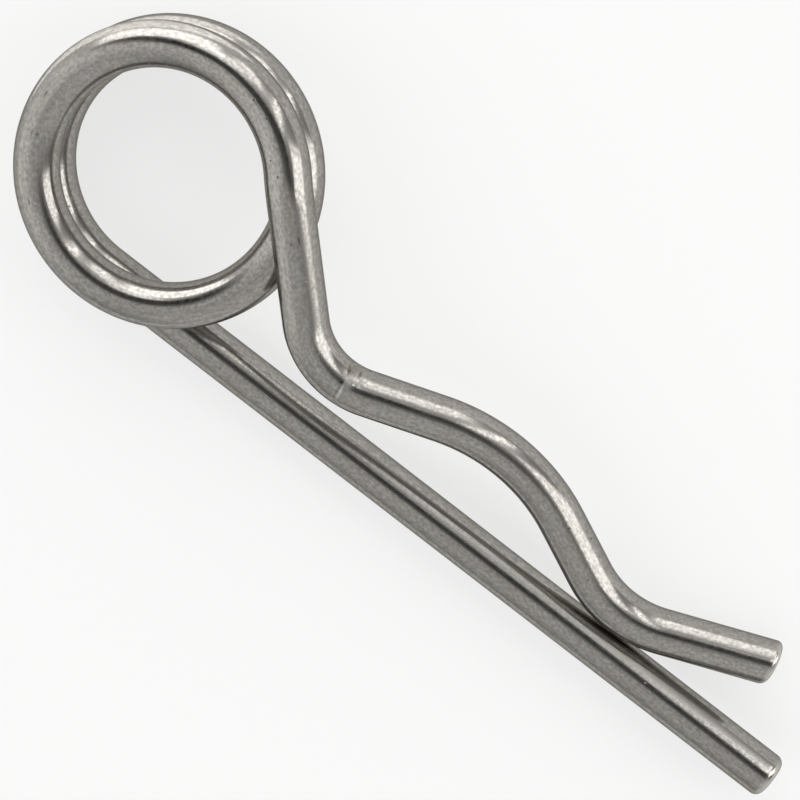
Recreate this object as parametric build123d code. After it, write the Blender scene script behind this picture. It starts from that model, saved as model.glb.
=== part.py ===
from build123d import *
import os
from math import asin, atan, cos, degrees, pi, radians, sin, sqrt, tan

# Double spring pin: one length of round spring wire, with no joint and no second piece.
# A straight leg runs into a coil of about one and two thirds turns, and a waved leg comes
# out of the coil's upper side. The straight leg goes through the cross hole of a shaft,
# and the waved leg snaps round the shaft's outside. The pin lies on its side, as on a bench.
# Lengths are in millimetres and angles in degrees.
# A gap is the clear space between the wire's surfaces, and a bend is its inside radius.

# The wire
wire_d = 4.0

# The coil: a left-handed helix that climbs away from the straight leg
eye_d = 18.6
turn_gap = 0.3
half_turns = 3
exit_angle = 48.5

# The straight leg, from the coil to its tip
straight_leg = 72.0

# The waved leg: how far its neck, crown and pinch stand off the straight leg,
# how steeply its slopes and its lifted lip run, and the radius of each bend
neck_gap = 2.75
crown_gap = 5.8
pinch_gap = 0.25
rise_angle = 17.0
fall_angle = 27.5
lip_angle = 20.0
lip_length = 10.0
neck_bend = 5.5
crown_bend = 16.0
pinch_bend = 8.0

# The waved leg is bent flat, and then set down from the coil's top towards the straight leg
set_down = 12.0
set_bend = 10.0

# The sheared ends, tumbled round at their edges; the lip's end is cut at a slight slant
straight_end_round = 0.8
lip_end_round = 0.6
lip_shear = 10.0

# Where the coil's underside meets the bench, measured round the coil from the straight leg
rest_angle = 71.0

# What follows from these sizes
wire_r = wire_d / 2
coil_r = eye_d / 2 + wire_r
coil_pitch = wire_d + turn_gap
coil_turn = 180 * half_turns + exit_angle
coil_arcs = 2 * round(coil_turn / 90)
climb = degrees(atan(coil_pitch / (2 * pi * coil_r)))
neck_r = neck_bend + wire_r
crown_r = crown_bend + wire_r
pinch_r = pinch_bend + wire_r
set_r = set_bend + wire_r


def sine(angle):
    return sin(radians(angle))


def cosine(angle):
    return cos(radians(angle))


def tangent(angle):
    return tan(radians(angle))


def rise_of_arc(radius, angle):
    """How far an arc leaves its tangent line while it turns by an angle."""
    return radius * (1 - cosine(angle))


def coil_helix():
    """The helix that the coil follows. It starts at the origin and heads along -X."""
    helix = Helix(coil_pitch, coil_pitch * coil_turn / 360, coil_r, lefthand=True)
    return Pos(0, coil_r, 0) * Rot(0, 0, -90) * helix


def coil_lines(helix):
    """Centre line of the coil, as tangent arcs between evenly spaced points of its helix.

    Each arc takes about an eighth of a turn and leaves the helix by less than 0.01 mm.
    Their number is even, which brings the wire back onto the helix's slope at the end.
    """
    arcs = []
    heading = helix % 0
    for step in range(coil_arcs):
        start = helix @ (step / coil_arcs)
        end = helix @ ((step + 1) / coil_arcs)
        arcs.append(TangentArc(start, end, tangent=heading))
        heading = arcs[-1] % 1
    return arcs


def straight_line(start, direction):
    """Centre line of the straight leg, which ends where the coil starts, in its direction."""
    return Line(start - direction * straight_leg, start)


def set_line(start, direction):
    """Centre line of the slight bend where the wire stops climbing and turns down."""
    level = Vector(direction.X, direction.Y, 0).normalized()
    upright = Plane(origin=start, x_dir=level, z_dir=level.cross(Vector(0, 0, 1)))
    slope = degrees(asin(direction.Z))
    fall = degrees(atan(level.X * tangent(set_down)))
    return upright * JernArc((0, 0), (cosine(slope), sine(slope)), set_r, -(slope + fall))


def waved_plane(start):
    """The plane of the waved leg: it falls along the pin and is level across it."""
    along = (cosine(set_down), 0, -sine(set_down))
    return Plane(origin=start, x_dir=along, z_dir=(sine(set_down), 0, cosine(set_down)))


def waved_runs(start, heading):
    """Lengths of the waved leg's three runs, from the levels that its bends reach.

    A level is the distance of the centre line from the straight leg's, across the pin.
    """
    neck = wire_d + neck_gap
    crown = wire_d + crown_gap
    touch = wire_d + pinch_gap
    run_in = (start.Y - neck - rise_of_arc(neck_r, heading)) / sine(heading)
    rise = (crown - neck - rise_of_arc(neck_r + crown_r, rise_angle)) / sine(rise_angle)

    def fall_to(level):
        return (crown - level - rise_of_arc(crown_r + pinch_r, fall_angle)) / sine(fall_angle)

    # How much higher than the straight leg the waved leg passes at the pinch
    along = run_in * cosine(heading) + neck_r * (sine(heading) + sine(rise_angle))
    along += rise * cosine(rise_angle) + crown_r * (sine(rise_angle) + sine(fall_angle))
    along += fall_to(touch) * cosine(fall_angle) + pinch_r * sine(fall_angle)
    pinch_x = start.X + along * cosine(set_down)
    height = start.Z - along * sine(set_down) + pinch_x * tangent(climb)
    pinch = sqrt(touch**2 - (height * cosine(climb)) ** 2)
    return run_in, rise, fall_to(pinch)


def waved_lines(start, direction):
    """Centre line of the waved leg, drawn flat and placed in its own plane."""
    plane = waved_plane(start)
    heading = degrees(atan(-direction.Y / direction.dot(plane.x_dir)))
    run_in, rise, fall = waved_runs(start, heading)
    shear_room = wire_r * tangent(lip_shear)
    neck_in = PolarLine((0, 0), run_in, -heading)
    neck = JernArc(neck_in @ 1, neck_in % 1, neck_r, heading + rise_angle)
    up = PolarLine(neck @ 1, rise, rise_angle)
    crown = JernArc(up @ 1, up % 1, crown_r, -rise_angle - fall_angle)
    down = PolarLine(crown @ 1, fall, -fall_angle)
    pinch = JernArc(down @ 1, down % 1, pinch_r, fall_angle + lip_angle)
    lip = PolarLine(pinch @ 1, lip_length + shear_room, lip_angle)
    return [plane * line for line in (neck_in, neck, up, crown, down, pinch, lip)]


def centre_line(helix):
    """The wire's whole centre line in order, from the straight leg's tip to the lip."""
    coil = coil_lines(helix)
    set_arc = set_line(coil[-1] @ 1, coil[-1] % 1)
    waved = waved_lines(set_arc @ 1, set_arc % 1)
    return [straight_line(helix @ 0, helix % 0), *coil, set_arc, *waved]


def lip_end(lip):
    """The plane of the lip's slanted end, which leaves the outer side longer."""
    direction = lip % 1
    side = waved_plane(lip @ 1).z_dir.cross(direction)
    end = lip @ 1 - direction * wire_r * tangent(lip_shear)
    return Plane(origin=end, z_dir=direction * cosine(lip_shear) - side * sine(lip_shear))


def round_end(wire, end, radius):
    """Round the edge of the end face at a point."""
    face = wire.faces().sort_by_distance(end)[0]
    return wire.fillet(radius, face.edges())


def bench(helix, lip):
    """The plane that the wire's centre line rests on: the coil's underside and the lip."""
    turn = rest_angle / coil_turn
    contact = helix @ turn
    to_lip = lip @ 1 - contact
    return Plane(origin=contact, x_dir=to_lip, z_dir=to_lip.cross(helix % turn))


def lie_down(wire, straight, rest):
    """Lay the pin on the bench, with the straight leg along X and the origin below its middle."""
    leg = straight @ 0 - straight @ 1
    level = Plane(origin=rest.origin, x_dir=leg - rest.z_dir * leg.dot(rest.z_dir), z_dir=rest.z_dir)
    lying = level.to_local_coords(wire)
    box = lying.bounding_box()
    return Pos(-box.center().X, -box.center().Y, -box.min.Z) * lying


def spring_wire():
    """The wire, swept in one go along its centre line, with both ends finished."""
    helix = coil_helix()
    lines = centre_line(helix)
    straight, lip = lines[0], lines[-1]
    path = Wire([line.edge() for line in lines])
    section = Plane(origin=path @ 0, x_dir=(0, 1, 0), z_dir=path % 0) * Circle(wire_r)
    wire = sweep(section, path=path).solid()
    end = lip_end(lip)
    offcut = end * Cylinder(wire_d, wire_d, align=(Align.CENTER, Align.CENTER, Align.MIN))
    wire = (wire - offcut).solid()
    wire = round_end(wire, straight @ 0, straight_end_round)
    wire = round_end(wire, end.origin, lip_end_round)
    return lie_down(wire, straight, bench(helix, lip))


if __name__ == "__main__":
    os.makedirs("parts", exist_ok=True)
    export_step(spring_wire(), "parts/spring_wire.step")
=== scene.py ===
"""Looks of a double spring pin: one length of drawn stainless spring wire, bent cold.

The wire is one piece, so one mesh stands for the solid. It grows ring by ring along the
same bends as the solid, and keeps on each point the place that the point had on the
straight wire. The drawing lines and the other marks of the finish follow that place.
Lengths are in millimetres and angles in degrees, until the mesh is made in metres.
"""
import logging
import math
from dataclasses import dataclass
from enum import Enum

import bmesh
import bpy
from mathutils import Matrix, Vector


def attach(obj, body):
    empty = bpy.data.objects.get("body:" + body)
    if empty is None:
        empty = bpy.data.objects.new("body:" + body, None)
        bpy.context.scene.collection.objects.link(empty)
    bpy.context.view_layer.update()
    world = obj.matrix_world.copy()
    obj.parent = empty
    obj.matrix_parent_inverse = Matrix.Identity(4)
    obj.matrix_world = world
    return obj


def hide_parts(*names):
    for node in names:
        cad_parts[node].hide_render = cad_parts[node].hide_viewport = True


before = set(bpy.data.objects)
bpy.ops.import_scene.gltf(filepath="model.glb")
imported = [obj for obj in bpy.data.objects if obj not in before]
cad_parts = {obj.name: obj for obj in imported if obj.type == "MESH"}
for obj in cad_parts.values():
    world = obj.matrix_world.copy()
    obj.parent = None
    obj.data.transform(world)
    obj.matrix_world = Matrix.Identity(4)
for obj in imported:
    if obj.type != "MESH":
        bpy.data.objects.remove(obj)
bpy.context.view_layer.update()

LOG = logging.getLogger("spring_pin")
MM = 0.001
UP = Vector((0, 0, 1))
NODE = "spring_wire"
BODY = "root"
STRAIGHTENED = "straightened_mm"
# The small ring round the middle of an end face, as a share of the wire's radius
POLE_SHARE = 0.08
# How close two points are merged, as a share of one step along the wire
MERGE_SHARE = 0.01
# How many rings cross the flat part of an end face
FLAT_RINGS = 4
# The middle part of a small mark or of a painted spot of light or shade, and of a pit, that has its full
# strength
NICK_OR_PAINTED_LIGHT_CORE = 0.2
PIT_CORE = 0.3


class Turn(Enum):
    """Which way the waved leg turns at a bend, seen from above."""

    LEFT = 1
    RIGHT = -1


def hex_to_linear(code: str) -> tuple[float, float, float, float]:
    """Turn a colour as it looks on a screen into the linear one that light is reckoned in.

    Args:
        code: the sRGB colour as a hex value, such as "#a0a0a0".

    Returns:
        Red, green, blue and an alpha of 1.
    """
    parts = [int(code[i:i + 2], 16) / 255 for i in (1, 3, 5)]
    linear = [c / 12.92 if c <= 0.04045 else ((c + 0.055) / 1.055) ** 2.4 for c in parts]
    return (*linear, 1.0)


def add_node(
    tree: bpy.types.NodeTree, kind: str, inputs: dict | None = None, **settings: object,
) -> bpy.types.Node:
    """Add one node with its settings, values and links.

    Args:
        tree: the node tree that gets the node.
        kind: the node's type name.
        inputs: for each input, by name or number, its value or the socket that feeds it.
        **settings: the node's own properties.

    Returns:
        The new node.
    """
    node = tree.nodes.new(kind)
    for name, value in settings.items():
        setattr(node, name, value)
    for key, value in (inputs or {}).items():
        if isinstance(value, bpy.types.NodeSocket):
            tree.links.new(value, node.inputs[key])
        else:
            node.inputs[key].default_value = value
    return node


def make_object(name: str, bm: bmesh.types.BMesh) -> bpy.types.Object:
    """Turn a bmesh in metres into an object of the scene and let go of it.

    Args:
        name: the object's name.
        bm: its shape.

    Returns:
        The object, at the origin and shaded smooth.
    """
    mesh = bpy.data.meshes.new(name)
    bm.to_mesh(mesh)
    bm.free()
    mesh.shade_smooth()
    made = bpy.data.objects.new(name, mesh)
    bpy.context.scene.collection.objects.link(made)
    return made


@dataclass(frozen=True)
class PinSizes:
    """Driving sizes of the pin, as its construction states them."""

    wire_d: float = 4.0
    eye_d: float = 18.6
    turn_gap: float = 0.3
    half_turns: int = 3
    exit_angle: float = 48.5
    straight_leg: float = 72.0
    neck_gap: float = 2.75
    crown_gap: float = 5.8
    pinch_gap: float = 0.25
    rise_angle: float = 17.0
    fall_angle: float = 27.5
    lip_angle: float = 20.0
    lip_length: float = 10.0
    neck_bend: float = 5.5
    crown_bend: float = 16.0
    pinch_bend: float = 8.0
    set_down: float = 12.0
    set_bend: float = 10.0
    straight_end_round: float = 0.8
    lip_end_round: float = 0.6
    lip_shear: float = 10.0
    rest_angle: float = 71.0

    @property
    def wire_r(self) -> float:
        """Radius of the wire."""
        return self.wire_d / 2

    @property
    def coil_r(self) -> float:
        """Radius of the coil's centre line."""
        return self.eye_d / 2 + self.wire_r

    @property
    def coil_turn(self) -> float:
        """How far the coil turns in all."""
        return 180 * self.half_turns + self.exit_angle

    @property
    def coil_pitch(self) -> float:
        """How far one full turn of the coil climbs."""
        return self.wire_d + self.turn_gap

    @property
    def climb(self) -> float:
        """The slope of the coil's centre line."""
        return math.degrees(math.atan(self.coil_pitch / (2 * math.pi * self.coil_r)))


def rise_of_arc(radius: float, angle: float) -> float:
    """How far an arc leaves its tangent line while it turns by an angle."""
    return radius * (1 - math.cos(math.radians(angle)))


class WireTube:
    """A tube that grows ring by ring from the tip of the straight leg.

    Each point keeps its place on the straight wire, before any bend: across the section
    in x and y, and the length from the tip in z. The tube grows in sections, each with
    its own small mesh, which keeps the operators quick. They are merged at the end.
    """

    def __init__(self, radius: float, around: int, step: float, place: Vector, heading: Vector) -> None:
        """Set the tube out, with its first section at the closed end.

        Args:
            radius: the wire's radius.
            around: how many points go round the section.
            step: the length of one cell along the wire.
            place: the middle of the tip's end face.
            heading: the direction in which the tube grows.
        """
        self.radius = radius
        self.around = around
        self.step = step
        self.frame = Matrix.Translation(place) @ UP.rotation_difference(heading).to_matrix().to_4x4()
        self.length = 0.0
        self.pole = radius * POLE_SHARE
        self.sections = [self.start_section(self.pole, capped=True)]

    @property
    def place(self) -> Vector:
        """The middle of the open ring."""
        return self.frame.translation

    @property
    def heading(self) -> Vector:
        """The direction in which the tube grows."""
        return self.frame.col[2].to_3d()

    @property
    def section(self) -> bmesh.types.BMesh:
        """The section that is growing."""
        return self.sections[-1]

    @property
    def marks(self) -> bmesh.types.BMLayerItem:
        """The layer with each point's place on the straight wire."""
        return self.section.verts.layers.float_vector[STRAIGHTENED]

    def start_section(self, radius: float, capped: bool = False) -> bmesh.types.BMesh:
        """Start a section with one ring across the wire.

        Args:
            radius: the ring's radius.
            capped: True to close it with a fan.

        Returns:
            The section's mesh.
        """
        section = bmesh.new()
        marks = section.verts.layers.float_vector.new(STRAIGHTENED)
        ring = bmesh.ops.create_circle(
            section, cap_ends=capped, cap_tris=True, segments=self.around, radius=radius,
        )["verts"]
        for vert in ring:
            vert[marks] = Vector((vert.co.x, vert.co.y, self.length))
        bmesh.ops.transform(section, matrix=self.frame, verts=ring)
        self.ring = [edge for edge in section.edges if len(edge.link_faces) < 2]
        return section

    def extrude(self) -> list[bmesh.types.BMVert]:
        """Extrude the open ring in place.

        Returns:
            The new ring's points.
        """
        made = bmesh.ops.extrude_edge_only(self.section, edges=self.ring)["geom"]
        self.ring = [item for item in made if isinstance(item, bmesh.types.BMEdge) and item.is_boundary]
        return self.ring_verts()

    def ring_verts(self) -> list[bmesh.types.BMVert]:
        """The points of the open ring."""
        return list({vert for edge in self.ring for vert in edge.verts})

    def note_length(self, length: float) -> None:
        """Add to the length of wire laid so far, and note it on the ring.

        Args:
            length: the length that was just laid.
        """
        self.length += length
        for vert in self.ring_verts():
            vert[self.marks].z = self.length

    def widen(self, share: float, ahead: float) -> None:
        """Add a ring of another width, a little further along.

        Args:
            share: the new ring's width as a share of the last one's.
            ahead: how far along the wire it stands, which may be behind.
        """
        verts = self.extrude()
        bmesh.ops.scale(self.section, vec=(share,) * 3, space=Matrix.Translation(-self.place), verts=verts)
        bmesh.ops.translate(self.section, vec=self.heading * ahead, verts=verts)
        for vert in verts:
            x, y, z = vert[self.marks]
            vert[self.marks] = Vector((x * share, y * share, z))
        self.frame = self.frame @ Matrix.Translation((0, 0, ahead))
        self.note_length(ahead)

    def run(self, length: float) -> None:
        """Grow straight on.

        Args:
            length: how far it grows.
        """
        count = math.ceil(length / self.step)
        for _ in range(count):
            verts = self.extrude()
            bmesh.ops.translate(self.section, vec=self.heading * (length / count), verts=verts)
            self.note_length(length / count)
        self.frame = self.frame @ Matrix.Translation((0, 0, length))

    def bend(self, centre: Vector, axis: Vector, angle: float, rise: float = 0.0) -> None:
        """Grow round an axis, and along it where the wire climbs.

        Args:
            centre: a point on the bend's axis.
            axis: the axis, which the wire turns round by the right-hand rule.
            angle: how far it turns.
            rise: how far it moves along the axis meanwhile.
        """
        self.sections.append(self.start_section(self.radius))
        radius = (self.place - centre).cross(axis).length
        length = math.hypot(radius * math.radians(angle), rise)
        count = math.ceil(length / self.step)
        for _ in range(count):
            made = bmesh.ops.spin(
                self.section, geom=self.ring, cent=centre, axis=axis, dvec=axis * (rise / count),
                angle=math.radians(angle) / count, steps=1, use_duplicate=False,
            )["geom_last"]
            self.ring = [item for item in made if isinstance(item, bmesh.types.BMEdge)]
            self.note_length(length / count)
        turn = Matrix.Rotation(math.radians(angle), 4, axis)
        about = Matrix.Translation(centre + axis * rise) @ turn @ Matrix.Translation(-centre)
        self.frame = about @ self.frame
        self.sections.append(self.start_section(self.radius))

    def slant(self, side: Vector, slope: float) -> None:
        """Slide the ring's points along the wire, so that it stands aslant.

        Args:
            side: the direction across the wire in which points slide ahead.
            slope: how far ahead they slide for each millimetre to that side.
        """
        shear = Matrix.Identity(4)
        for row in range(3):
            for column in range(3):
                shear[row][column] += self.heading[row] * side[column] * slope
        space = Matrix.Translation(-self.place)
        bmesh.ops.transform(self.section, matrix=shear, space=space, verts=self.ring_verts())

    def close(self) -> None:
        """Close the last ring with a fan round its middle."""
        cap = bmesh.ops.contextual_create(self.section, geom=self.ring)["faces"]
        bmesh.ops.poke(self.section, faces=cap)

    def merged(self) -> bmesh.types.BMesh:
        """Merge the sections where their rings meet.

        Returns:
            The whole tube as one closed mesh with its faces outwards.
        """
        whole = bmesh.new()
        for section in self.sections:
            part = bpy.data.meshes.new("section")
            section.to_mesh(part)
            section.free()
            whole.from_mesh(part)
            bpy.data.meshes.remove(part)
        bmesh.ops.remove_doubles(whole, verts=whole.verts, dist=self.step * MERGE_SHARE)
        bmesh.ops.recalc_face_normals(whole, faces=whole.faces)
        return whole


@dataclass
class SpringWire:
    """The pin's wire, bent to its sizes. Its straightened length is known once it is built."""

    sizes: PinSizes = PinSizes()
    around: int = 72
    step: float = 0.3
    end_rings: int = 8
    straight_sections: int = 6
    coil_sections: int = 8
    name: str = "bent_spring_wire"
    length: float = 0.0

    def build(self) -> bpy.types.Object:
        """Make the wire as one closed mesh where the solid lies.

        Returns:
            The wire's object, at the origin.
        """
        size = self.sizes
        climb = math.radians(size.climb)
        leg = Vector((math.cos(climb), 0, -math.sin(climb)))
        tube = WireTube(size.wire_r, self.around, self.step, leg * size.straight_leg, -leg)
        self.straight_leg(tube)
        contact, heading = self.coil(tube)
        flat = self.waved_leg(tube)
        tip = self.lip(tube, flat)
        self.length = tube.length
        wire = tube.merged()
        self.lie_down(wire, leg, (tip - contact).cross(heading).normalized())
        return self.to_object(wire)

    def rounded_end(self, tube: WireTube, radius: float, opening: bool) -> None:
        """Add the rings of an end face and its rounded edge.

        Args:
            tube: the tube, with its open ring at the end face or at the rounded edge.
            radius: the edge's radius.
            opening: True at the tube's start, where the rings grow.
        """
        flat = tube.radius - radius
        across = [tube.pole + (flat - tube.pole) * i / FLAT_RINGS for i in range(FLAT_RINGS + 1)]
        profile = [(width, 0.0) for width in across]
        for i in range(1, self.end_rings + 1):
            turn = math.pi / 2 * i / self.end_rings
            profile.append((flat + radius * math.sin(turn), radius * (1 - math.cos(turn))))
        if not opening:
            profile = [(width, radius - depth) for width, depth in reversed(profile)]
        for (width, depth), (next_width, next_depth) in zip(profile, profile[1:]):
            tube.widen(next_width / width, next_depth - depth)

    def straight_leg(self, tube: WireTube) -> None:
        """Lay the straight leg from its rounded tip to the coil.

        Args:
            tube: the tube, which has only its first ring.
        """
        size = self.sizes
        self.rounded_end(tube, size.straight_end_round, opening=True)
        for _ in range(self.straight_sections):
            tube.run((size.straight_leg - size.straight_end_round) / self.straight_sections)
            tube.sections.append(tube.start_section(tube.radius))

    def coil(self, tube: WireTube) -> tuple[Vector, Vector]:
        """Wind the coil.

        Args:
            tube: the tube, with its open ring at the end of the straight leg.

        Returns:
            The point of the centre line over the coil's contact with the bench, and the
            wire's direction there.
        """
        size = self.sizes
        centre = Vector((0, size.coil_r, 0))
        tube.bend(centre, -UP, size.rest_angle, -size.coil_pitch * size.rest_angle / 360)
        contact = (tube.place.copy(), tube.heading.copy())
        turn = (size.coil_turn - size.rest_angle) / self.coil_sections
        for _ in range(self.coil_sections):
            tube.bend(centre, -UP, turn, -size.coil_pitch * turn / 360)
        return contact

    def waved_runs(self, start: Vector, heading: float) -> tuple[float, float, float]:
        """Work out the waved leg's three runs from the levels that its bends reach.

        Args:
            start: where the first run starts.
            heading: the angle at which it comes in, in the waved leg's plane.

        Returns:
            The lengths of the run into the neck, the rise and the fall.
        """
        size = self.sizes
        neck_r = size.neck_bend + size.wire_r
        crown_r = size.crown_bend + size.wire_r
        pinch_r = size.pinch_bend + size.wire_r
        neck = size.wire_d + size.neck_gap
        crown = size.wire_d + size.crown_gap
        touch = size.wire_d + size.pinch_gap
        come, rise, fall = (math.radians(a) for a in (heading, size.rise_angle, size.fall_angle))
        down = math.radians(size.set_down)
        climb = math.radians(size.climb)
        run_in = (start.y - neck - rise_of_arc(neck_r, heading)) / math.sin(come)
        run_up = (crown - neck - rise_of_arc(neck_r + crown_r, size.rise_angle)) / math.sin(rise)

        def run_down(level: float) -> float:
            """The fall's length down to a level of the pinch."""
            return (crown - level - rise_of_arc(crown_r + pinch_r, size.fall_angle)) / math.sin(fall)

        along = run_in * math.cos(come) + neck_r * (math.sin(come) + math.sin(rise))
        along += run_up * math.cos(rise) + crown_r * (math.sin(rise) + math.sin(fall))
        along += run_down(touch) * math.cos(fall) + pinch_r * math.sin(fall)
        pinch_x = start.x + along * math.cos(down)
        height = start.z - along * math.sin(down) + pinch_x * math.tan(climb)
        pinch = math.sqrt(touch**2 - (height * math.cos(climb)) ** 2)
        return run_in, run_up, run_down(pinch)

    def turn_leg(self, tube: WireTube, flat: Vector, turn: Turn, radius: float, angle: float) -> None:
        """Bend the waved leg in its own plane.

        Args:
            tube: the tube.
            flat: the plane's normal.
            turn: which way the wire turns.
            radius: the bend's inside radius.
            angle: how far it turns.
        """
        to_centre = flat.cross(tube.heading) * turn.value
        tube.bend(tube.place + to_centre * (radius + tube.radius), flat * turn.value, angle)

    def waved_leg(self, tube: WireTube) -> Vector:
        """Set the wire down off the coil and bend the waved leg, up to its lifted lip.

        Args:
            tube: the tube, with its open ring at the end of the coil.

        Returns:
            The normal of the waved leg's plane.
        """
        size = self.sizes
        down = math.radians(size.set_down)
        flat = Vector((math.sin(down), 0, math.cos(down)))
        along = Vector((math.cos(down), 0, -math.sin(down)))
        level = Vector((tube.heading.x, tube.heading.y, 0)).normalized()
        fall = math.degrees(math.asin(tube.heading.z) + math.atan(level.x * math.tan(down)))
        across = UP.cross(level)
        to_centre = across.cross(tube.heading)
        tube.bend(tube.place + to_centre * (size.set_bend + size.wire_r), across, fall)
        heading = math.degrees(math.atan2(-tube.heading.y, tube.heading.dot(along)))
        run_in, run_up, run_down = self.waved_runs(tube.place, heading)
        tube.run(run_in)
        self.turn_leg(tube, flat, Turn.LEFT, size.neck_bend, heading + size.rise_angle)
        tube.run(run_up)
        self.turn_leg(tube, flat, Turn.RIGHT, size.crown_bend, size.rise_angle + size.fall_angle)
        tube.run(run_down)
        self.turn_leg(tube, flat, Turn.LEFT, size.pinch_bend, size.fall_angle + size.lip_angle)
        return flat

    def lip(self, tube: WireTube, flat: Vector) -> Vector:
        """Lay the lip and finish its end, which the shears left aslant.

        Args:
            tube: the tube.
            flat: the normal of the waved leg's plane.

        Returns:
            The point that the longest side of the lip reaches, on its centre line.
        """
        size = self.sizes
        slope = math.tan(math.radians(size.lip_shear))
        side = flat.cross(tube.heading)
        slanting = size.wire_d
        tube.run(size.lip_length - size.lip_end_round - slanting)
        count = math.ceil(slanting / tube.step)
        for _ in range(count):
            tube.run(slanting / count)
            tube.slant(side, slope / count)
        self.rounded_end(tube, size.lip_end_round, opening=False)
        tube.close()
        return tube.place + tube.heading * size.wire_r * slope

    def lie_down(self, wire: bmesh.types.BMesh, leg: Vector, normal: Vector) -> None:
        """Lay the pin on the bench, on the coil's underside and the lip.

        Args:
            wire: the wire, still in the coil's frame.
            leg: the direction from the coil to the straight leg's tip.
            normal: the direction that is up when it lies, in the coil's frame.
        """
        along = (leg - normal * leg.dot(normal)).normalized()
        level = Matrix((along, normal.cross(along), normal)).to_4x4()
        bmesh.ops.transform(wire, matrix=level, verts=wire.verts)
        low = Vector([min(vert.co[i] for vert in wire.verts) for i in range(3)])
        high = Vector([max(vert.co[i] for vert in wire.verts) for i in range(3)])
        middle = Vector(((low.x + high.x) / 2, (low.y + high.y) / 2, low.z))
        bmesh.ops.translate(wire, vec=-middle, verts=wire.verts)

    def to_object(self, wire: bmesh.types.BMesh) -> bpy.types.Object:
        """Turn the mesh into metres and make its object."""
        bmesh.ops.scale(wire, vec=(MM, MM, MM), verts=wire.verts)
        return make_object(self.name, wire)


@dataclass(frozen=True)
class NickOrPaintedLight:
    """A small spot placed on the straight wire: a mark in the wire's skin, or a line or glint of painted
    highlight or painted shade.

    The angle is measured round the wire, and the lean is that of the mark's length from
    the wire's own direction. The length and width are half of the mark's own. The cover
    is how much of the colour under it a mark hides, and a raised mark has a depth below 0.
    """

    along: float
    angle: float
    length: float
    width: float
    depth: float
    lean: float = 0.0
    cover: float = 0.6
    colour: str = "#4b4845"

    def mask(
        self, tree: bpy.types.NodeTree, marks: bpy.types.NodeSocket, wire_r: float,
    ) -> bpy.types.NodeSocket:
        """Add the nodes that tell how far a point lies in the mark.

        Args:
            tree: the material's node tree.
            marks: the straightened wire's coordinates.
            wire_r: the wire's radius.

        Returns:
            1 in the mark's middle and 0 outside it.
        """
        turn = math.radians(self.angle)
        middle = Vector((wire_r * math.cos(turn), wire_r * math.sin(turn), self.along))
        share = add_node(tree, "ShaderNodeMapping", {
            "Vector": marks, "Location": middle, "Rotation": (math.radians(self.lean), 0, turn),
            "Scale": (wire_r / 2, self.width, self.length),
        }, vector_type="TEXTURE")
        far = add_node(tree, "ShaderNodeVectorMath", {0: share.outputs["Vector"]}, operation="LENGTH")
        inside = add_node(tree, "ShaderNodeMapRange", {
            "Value": far.outputs["Value"], "From Min": 1.0, "From Max": NICK_OR_PAINTED_LIGHT_CORE,
        }, interpolation_type="SMOOTHSTEP")
        return inside.outputs["Result"]


@dataclass(frozen=True)
class Strewn:
    """A soft random pattern all over the wire, from a real size across and along it.

    The cover is how much of its colour it lays on at most, and the rise how far it lifts
    the skin where it is strongest. Low and high are the noise values that count as 0 and 1.
    The detail is how many finer layers the noise has, and the fineness how strong they are.
    """

    across: float
    along: float
    colour: str
    cover: float
    rise: float = 0.0
    low: float = 0.32
    high: float = 0.68
    detail: float = 2.0
    fineness: float = 0.55

    def mask(self, tree: bpy.types.NodeTree, marks: bpy.types.NodeSocket) -> bpy.types.NodeSocket:
        """Add the nodes that tell how strong the pattern is at a point.

        Args:
            tree: the material's node tree.
            marks: the straightened wire's coordinates.

        Returns:
            1 where it is strongest and 0 where it is missing.
        """
        place = add_node(tree, "ShaderNodeVectorMath", {
            0: marks, 1: (1 / self.across, 1 / self.across, 1 / self.along),
        }, operation="MULTIPLY")
        noise = add_node(tree, "ShaderNodeTexNoise", {
            "Vector": place.outputs["Vector"], "Scale": 1.0, "Detail": self.detail,
            "Roughness": self.fineness,
        })
        spread = add_node(tree, "ShaderNodeMapRange", {
            "Value": noise.outputs["Fac"], "From Min": self.low, "From Max": self.high,
        })
        return spread.outputs["Result"]


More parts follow.
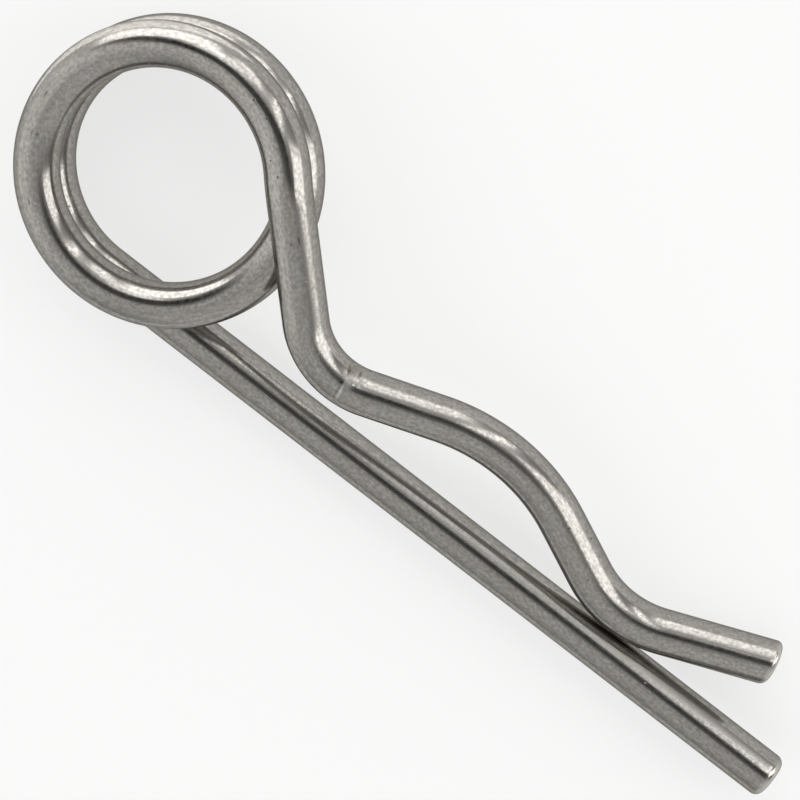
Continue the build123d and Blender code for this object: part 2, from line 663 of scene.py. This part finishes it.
@dataclass(frozen=True)
class DrawnStainless:
    """Stainless spring wire, drawn bright through a die and bent cold.

    The die leaves a smooth half-bright skin with fine lines along the wire, which spread
    its highlights crosswise. Under the lines the skin is finely mottled, the drawing soap
    leaves a faint warm bloom, the bending pin leaves a pressed crease in the tightest
    bend, and handling in bulk leaves pits and nicks. Across the crease a light and a dark
    line are painted highlight and painted shade, beside it a glint is a painted highlight,
    and the sheared ends are lighter partly as bare metal and partly as a painted highlight.
    Sizes are in millimetres. Real drawing lines are 10 to 30 thousandths apart, so they are
    drawn several times coarser here, just wide enough to show.
    """

    name: str = "drawn_stainless_spring_wire"
    colour: str = "#b3b0ab"
    # The sheared ends are lighter, partly as bare metal and partly as a painted highlight
    end_metal_and_painted_highlight_colour: str = "#c6c3bd"
    end_depth: float = 0.9
    edge_tint: str = "#aeaeac"
    roughness: float = 0.14
    grain_roughness: float = 0.1
    lines: Strewn = Strewn(0.13, 11.0, "#86837d", 0.35, rise=-0.0016, low=0.36, high=0.64)
    grain: Strewn = Strewn(0.28, 0.38, "#898783", 0.9, rise=0.0009)
    bloom: Strewn = Strewn(1.1, 2.4, "#9b9186", 0.35)
    pit_colour: str = "#4b4845"
    pit_cover: float = 0.8
    pit_spacing: float = 2.2
    pit_radius: float = 0.13
    pit_depth: float = 0.02
    crease_along: float = 207.75
    crease_half: float = 0.8
    crease_depth: float = 0.03
    crease_roughness: float = 0.25
    # Marks at the neck's crease: a dark pit and brown stains, with lines and a glint of painted highlight
    # and painted shade
    crease_stains_and_painted_light: tuple[NickOrPaintedLight, ...] = (
        # A light line and a dark line across the crease's shallow groove: painted highlight on one edge and
        # painted shade on the other
        NickOrPaintedLight(207.5, -2, 1.3, 0.16, 0.008, lean=98, cover=0.5, colour="#e4e2dd"),
        NickOrPaintedLight(207.22, -2, 1.3, 0.14, 0.008, lean=98, cover=0.45),
        NickOrPaintedLight(207.05, -24, 0.22, 0.2, 0.01, cover=0.9),
        NickOrPaintedLight(207.5, -66, 0.9, 0.8, 0.0, lean=90, cover=0.3, colour="#6b594c"),
        NickOrPaintedLight(207.0, -62, 0.75, 0.28, 0.01, lean=124, cover=0.6, colour="#574739"),
        NickOrPaintedLight(208.3, -66, 0.65, 0.3, 0.01, lean=90, cover=0.65, colour="#574739"),
        # A painted glint: a small light spot, raised a little
        NickOrPaintedLight(208.15, -33, 0.2, 0.13, -0.006, cover=0.8, colour="#f0eeea"),
    )
    nicks: tuple[NickOrPaintedLight, ...] = (
        NickOrPaintedLight(157.4, -5, 0.5, 0.1, 0.02),
        NickOrPaintedLight(151.4, -10, 0.35, 0.1, 0.02),
        NickOrPaintedLight(160.9, -15, 0.7, 0.12, 0.015),
        NickOrPaintedLight(230.5, -25, 0.12, 0.2, 0.02),
        NickOrPaintedLight(193.4, -25, 0.5, 0.15, 0.015, cover=0.75),
    )

    def material(self, wire_r: float, wire_length: float) -> bpy.types.Material:
        """Build the wire's material.

        Args:
            wire_r: the wire's radius.
            wire_length: the straightened wire's length.

        Returns:
            The material, which follows the straightened wire's coordinates.
        """
        made = bpy.data.materials.new(self.name)
        made.use_nodes = True
        tree = made.node_tree
        tree.nodes.clear()
        marks = add_node(tree, "ShaderNodeAttribute", attribute_name=STRAIGHTENED).outputs["Vector"]
        grain = self.grain.mask(tree, marks)
        crease = self.crease(tree, marks)
        layers = [
            (self.lines.mask(tree, marks), self.lines.cover, self.lines.colour, self.lines.rise),
            (self.bloom.mask(tree, marks), self.bloom.cover, self.bloom.colour, self.bloom.rise),
            (grain, self.grain.cover, self.grain.colour, self.grain.rise),
            (self.pits(tree, marks), self.pit_cover, self.pit_colour, -self.pit_depth),
            (crease, 0.0, self.colour, -self.crease_depth),
            # The ends, lighter partly as bare metal and partly as a painted highlight
            (self.ends(tree, marks, wire_length), 1.0, self.end_metal_and_painted_highlight_colour, 0.0),
        ]
        # The crease's stains, its painted highlight and painted shade, its painted glint, and the nicks
        for nick_or_painted_light in (*self.crease_stains_and_painted_light, *self.nicks):
            layers.append((nick_or_painted_light.mask(tree, marks, wire_r), nick_or_painted_light.cover, nick_or_painted_light.colour, -nick_or_painted_light.depth))

        colour, height = hex_to_linear(self.colour), 0.0
        for mask, cover, over, rise in layers:
            if cover:
                shown = add_node(tree, "ShaderNodeMath", {0: mask, 1: cover}, operation="MULTIPLY")
                mix = add_node(tree, "ShaderNodeMix", {
                    0: shown.outputs["Value"], 6: colour, 7: hex_to_linear(over),
                }, data_type="RGBA")
                colour = mix.outputs[2]
            if rise:
                raised = add_node(tree, "ShaderNodeMath", {
                    0: mask, 1: rise, 2: height,
                }, operation="MULTIPLY_ADD")
                height = raised.outputs["Value"]
        roughness = self.roughness
        for mask, more in ((grain, self.grain_roughness), (crease, self.crease_roughness)):
            rougher = add_node(tree, "ShaderNodeMath", {
                0: mask, 1: more, 2: roughness,
            }, operation="MULTIPLY_ADD")
            roughness = rougher.outputs["Value"]
        bump = add_node(tree, "ShaderNodeBump", {"Height": height, "Distance": MM, "Strength": 1.0})
        metal = add_node(tree, "ShaderNodeBsdfPrincipled", {
            "Base Color": colour, "Metallic": 1.0, "Roughness": roughness,
            "Specular Tint": hex_to_linear(self.edge_tint), "Normal": bump.outputs["Normal"],
        })
        add_node(tree, "ShaderNodeOutputMaterial", {"Surface": metal.outputs["BSDF"]})
        return made

    def pits(self, tree: bpy.types.NodeTree, marks: bpy.types.NodeSocket) -> bpy.types.NodeSocket:
        """Add small pits strewn over the wire.

        Args:
            tree: the material's node tree.
            marks: the straightened wire's coordinates.

        Returns:
            1 in a pit's middle and 0 between the pits.
        """
        cells = add_node(tree, "ShaderNodeTexVoronoi", {"Vector": marks, "Scale": 1 / self.pit_spacing})
        reach = self.pit_radius / self.pit_spacing
        inside = add_node(tree, "ShaderNodeMapRange", {
            "Value": cells.outputs["Distance"], "From Min": reach, "From Max": reach * PIT_CORE,
        }, interpolation_type="SMOOTHSTEP")
        return inside.outputs["Result"]

    def ends(
        self, tree: bpy.types.NodeTree, marks: bpy.types.NodeSocket, wire_length: float,
    ) -> bpy.types.NodeSocket:
        """Add the two sheared ends, which are lighter partly as bare metal and partly as a painted
        highlight.

        Args:
            tree: the material's node tree.
            marks: the straightened wire's coordinates.
            wire_length: the straightened wire's length.

        Returns:
            1 on the end faces and 0 along the wire.
        """
        parts = add_node(tree, "ShaderNodeSeparateXYZ", {0: marks})
        half = wire_length / 2
        past = add_node(tree, "ShaderNodeMath", {0: parts.outputs["Z"], 1: half}, operation="SUBTRACT")
        out = add_node(tree, "ShaderNodeMath", {0: past.outputs["Value"]}, operation="ABSOLUTE")
        inside = add_node(tree, "ShaderNodeMapRange", {
            "Value": out.outputs["Value"], "From Min": half - self.end_depth, "From Max": half,
        }, interpolation_type="SMOOTHSTEP")
        return inside.outputs["Result"]

    def crease(self, tree: bpy.types.NodeTree, marks: bpy.types.NodeSocket) -> bpy.types.NodeSocket:
        """Add the shallow crease that the bending pin pressed across the neck.

        Args:
            tree: the material's node tree.
            marks: the straightened wire's coordinates.

        Returns:
            1 along the crease's middle and 0 beside it.
        """
        parts = add_node(tree, "ShaderNodeSeparateXYZ", {0: marks})
        past = add_node(tree, "ShaderNodeMath", {
            0: parts.outputs["Z"], 1: self.crease_along,
        }, operation="SUBTRACT")
        near = add_node(tree, "ShaderNodeMath", {0: past.outputs["Value"]}, operation="ABSOLUTE")
        inside = add_node(tree, "ShaderNodeMapRange", {
            "Value": near.outputs["Value"], "From Min": self.crease_half, "From Max": 0.0,
        }, interpolation_type="SMOOTHSTEP")
        return inside.outputs["Result"]


def direction(azimuth: float, elevation: float) -> Vector:
    """The way to a place round the object.

    Args:
        azimuth: the angle from +X, counter-clockwise seen from above.
        elevation: the angle above the floor.

    Returns:
        The direction, one unit long.
    """
    azimuth, elevation = math.radians(azimuth), math.radians(elevation)
    level = math.cos(elevation)
    return Vector((math.cos(azimuth) * level, math.sin(azimuth) * level, math.sin(elevation)))


@dataclass(frozen=True)
class SoftLamp:
    """A soft lamp, turned to the point that it aims at. Its lengths are in metres."""

    name: str
    azimuth: float
    elevation: float
    width: float
    height: float
    radiance: float
    lean: float = 0.0
    distance: float = 0.7
    aim: tuple[float, float, float] = (0.0, 0.0, 0.0)

    def build(self) -> None:
        """Make the lamp."""
        data = bpy.data.lights.new(self.name, "AREA")
        data.shape = "RECTANGLE"
        data.size, data.size_y = self.width, self.height
        data.energy = self.radiance * math.pi * self.width * self.height
        lamp = bpy.data.objects.new(self.name, data)
        way = direction(self.azimuth, self.elevation)
        place = Matrix.Translation(Vector(self.aim) + way * self.distance)
        turn = way.to_track_quat("Z", "Y").to_matrix().to_4x4()
        lamp.matrix_world = place @ turn @ Matrix.Rotation(math.radians(self.lean), 4, "Z")
        lamp.visible_camera = False
        bpy.context.scene.collection.objects.link(lamp)


@dataclass(frozen=True)
class Screen:
    """A soft-edged patch of the surroundings, brighter or darker than the rest.

    Its size is the half angle that it takes up along and across its length.
    """

    azimuth: float
    elevation: float
    along: float
    across: float
    level: float
    edge: float
    lean: float = 0.0

    def mask(self, tree: bpy.types.NodeTree, way: bpy.types.NodeSocket) -> bpy.types.NodeSocket:
        """Add the nodes that tell how far a direction lies in the patch.

        Args:
            tree: the world's node tree.
            way: the direction.

        Returns:
            1 inside and 0 outside.
        """
        centre = direction(self.azimuth, self.elevation)
        level = UP.cross(centre).normalized()
        turn = Matrix.Rotation(math.radians(self.lean), 3, centre)
        axes = {
            "long": turn @ level / math.sin(math.radians(self.along)),
            "short": turn @ centre.cross(level) / math.sin(math.radians(self.across)),
        }
        parts = {}
        for name, axis in axes.items():
            part = add_node(tree, "ShaderNodeVectorMath", {0: way, 1: axis}, operation="DOT_PRODUCT")
            parts[name] = part.outputs["Value"]
        flat = add_node(tree, "ShaderNodeCombineXYZ", {"X": parts["long"], "Y": parts["short"]})
        far = add_node(tree, "ShaderNodeVectorMath", {0: flat.outputs["Vector"]}, operation="LENGTH")
        inside = add_node(tree, "ShaderNodeMapRange", {
            "Value": far.outputs["Value"], "From Min": 1 + self.edge, "From Max": 1 - self.edge,
        }, interpolation_type="SMOOTHSTEP")
        ahead = add_node(tree, "ShaderNodeVectorMath", {0: way, 1: centre}, operation="DOT_PRODUCT")
        front = add_node(tree, "ShaderNodeMath", {
            0: ahead.outputs["Value"], 1: 0.0,
        }, operation="GREATER_THAN")
        both = add_node(tree, "ShaderNodeMath", {
            0: inside.outputs["Result"], 1: front.outputs["Value"],
        }, operation="MULTIPLY")
        return both.outputs["Value"]


@dataclass
class Studio:
    """Pale floor, soft lamps and the surroundings that the bright wire mirrors.

    The floor's own glow shows only as background and lights nothing, so the shadow on it
    stays soft. The room has a plain level that changes slowly from side to side by the
    tilt, and the screens stand in it. The low strip lies on the floor beside the coil,
    outside the picture, and faces up. Half of the floor's side is in metres.
    """

    floor_half: float = 4.0
    floor_colour: str = "#8e8e8d"
    floor_glow: float = 0.69
    plain_level: float = 0.6
    least_level: float = 0.02
    tilt: tuple[float, float, float] = (-0.506, 0.075, 0.158)
    lamps: tuple[SoftLamp, ...] = (
        SoftLamp("back_lamp", 145.5, 14, 0.69, 0.56, 2.25, lean=-14),
        SoftLamp("side_lamp", 39, 24, 0.38, 0.63, 2.35, lean=-8),
        SoftLamp("low_strip", 143, -89, 0.046, 0.045, 1.3, distance=0.01, aim=(-0.0613, 0.0209, 0.0105)),
    )
    screens: tuple[Screen, ...] = (
        # A pale wall and, narrower and brighter, two lit strips behind the legs
        Screen(-145, 28, 36, 38, 1.45, 0.5),
        Screen(99, 24, 7.5, 18, 4.0, 0.5),
        Screen(76.5, 33, 3.6, 25, 4.6, 0.1),
        # The bright upper edge of the back lamp's diffuser
        Screen(117, 41, 27, 10.6, 2.7, 0.12, lean=43),
        # A black flag overhead, which draws the thin dark line along the wire
        Screen(131, 71.4, 52, 14, 0.02, 0.35, lean=-37),
        # A pale card in front
        Screen(-36.6, 24.5, 38, 54, 1.0, 0.4, lean=14),
    )

    def build(self) -> None:
        """Make the floor, the lamps and the surroundings."""
        self.floor()
        for lamp in self.lamps:
            lamp.build()
        self.surroundings()

    def shown_as_background(self, tree: bpy.types.NodeTree) -> bpy.types.NodeSocket:
        """Add the nodes that tell rays which show the background from rays that light the object.

        Args:
            tree: the floor's node tree.

        Returns:
            1 for a ray that shows the background and 0 for one that lights the object.
        """
        path = add_node(tree, "ShaderNodeLightPath")
        shown = path.outputs["Is Camera Ray"]
        for kind in ("Is Glossy Ray", "Is Transmission Ray"):
            shown = add_node(tree, "ShaderNodeMath", {0: shown, 1: path.outputs[kind]}, operation="MAXIMUM")
            shown = shown.outputs["Value"]
        return shown

    def floor(self) -> None:
        """Make the pale floor, which shows as white where no shadow falls on it."""
        bm = bmesh.new()
        bmesh.ops.create_grid(bm, x_segments=1, y_segments=1, size=self.floor_half)
        floor = make_object("floor", bm)
        material = bpy.data.materials.new("matt_white_card")
        material.use_nodes = True
        tree = material.node_tree
        tree.nodes.clear()
        card = add_node(tree, "ShaderNodeBsdfDiffuse", {"Color": hex_to_linear(self.floor_colour)})
        strength = add_node(tree, "ShaderNodeMath", {
            0: self.shown_as_background(tree), 1: self.floor_glow,
        }, operation="MULTIPLY")
        glow = add_node(tree, "ShaderNodeEmission", {"Strength": strength.outputs["Value"]})
        both = add_node(tree, "ShaderNodeAddShader", {0: card.outputs["BSDF"], 1: glow.outputs["Emission"]})
        add_node(tree, "ShaderNodeOutputMaterial", {"Surface": both.outputs["Shader"]})
        floor.data.materials.append(material)

    def surroundings(self) -> None:
        """Make the world: a plain grey room with soft screens, which the bright wire mirrors."""
        world = bpy.data.worlds.new("surroundings")
        world.use_nodes = True
        tree = world.node_tree
        tree.nodes.clear()
        way = add_node(tree, "ShaderNodeTexCoord").outputs["Generated"]
        tilt = add_node(tree, "ShaderNodeVectorMath", {0: way, 1: self.tilt}, operation="DOT_PRODUCT")
        plain = add_node(tree, "ShaderNodeMath", {
            0: tilt.outputs["Value"], 1: self.plain_level,
        }, operation="ADD")
        lowest = add_node(tree, "ShaderNodeMath", {
            0: plain.outputs["Value"], 1: self.least_level,
        }, operation="MAXIMUM")
        level = lowest.outputs["Value"]
        for screen in self.screens:
            mixed = add_node(tree, "ShaderNodeMix", {
                "Factor": screen.mask(tree, way), "A": level, "B": screen.level,
            }, data_type="FLOAT")
            level = mixed.outputs["Result"]
        sky = add_node(tree, "ShaderNodeBackground", {"Strength": level})
        add_node(tree, "ShaderNodeOutputWorld", {"Surface": sky.outputs["Background"]})
        bpy.context.scene.world = world


@dataclass(frozen=True)
class PhotoCamera:
    """The camera at the photograph's viewing angle, for a square frame.

    The aim, the distance, the lens and the sensor are in millimetres, and the clip
    distances in metres.
    """

    aim: tuple[float, float, float] = (-2.398, -3.562, 5.6)
    azimuth: float = 182.582
    elevation: float = 69.616
    roll: float = -145.099
    distance: float = 350.0
    lens: float = 186.21
    sensor: float = 36.0
    clip: tuple[float, float] = (0.01, 10.0)

    def build(self) -> bpy.types.Object:
        """Make the camera and give it to the scene.

        Returns:
            The camera.
        """
        azimuth, elevation = math.radians(self.azimuth), math.radians(self.elevation)
        level = math.cos(elevation)
        back = Vector((math.sin(azimuth) * level, -math.cos(azimuth) * level, math.sin(elevation)))
        data = bpy.data.cameras.new("photo_camera")
        data.sensor_width = self.sensor
        data.lens = self.lens
        data.clip_start, data.clip_end = self.clip
        camera = bpy.data.objects.new("photo_camera", data)
        across = UP.cross(back).normalized()
        turn = Matrix((across, back.cross(across), back)).transposed().to_4x4()
        place = Matrix.Translation((Vector(self.aim) + back * self.distance) * MM)
        camera.matrix_world = place @ turn @ Matrix.Rotation(math.radians(self.roll), 4, "Z")
        bpy.context.scene.collection.objects.link(camera)
        bpy.context.scene.camera = camera
        return camera


def main() -> None:
    """Build the pin, its studio and the camera, and note the model's size."""
    logging.basicConfig(level=logging.INFO, format="%(message)s")
    bpy.context.scene.view_settings.view_transform = "Standard"
    pin = SpringWire()
    wire = pin.build()
    wire.data.materials.append(DrawnStainless().material(pin.sizes.wire_r, pin.length))
    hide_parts(NODE)
    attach(wire, BODY)
    LOG.info("%s: %d faces", wire.name, len(wire.data.polygons))
    Studio().build()
    PhotoCamera().build()


if __name__ == "__main__":
    main()
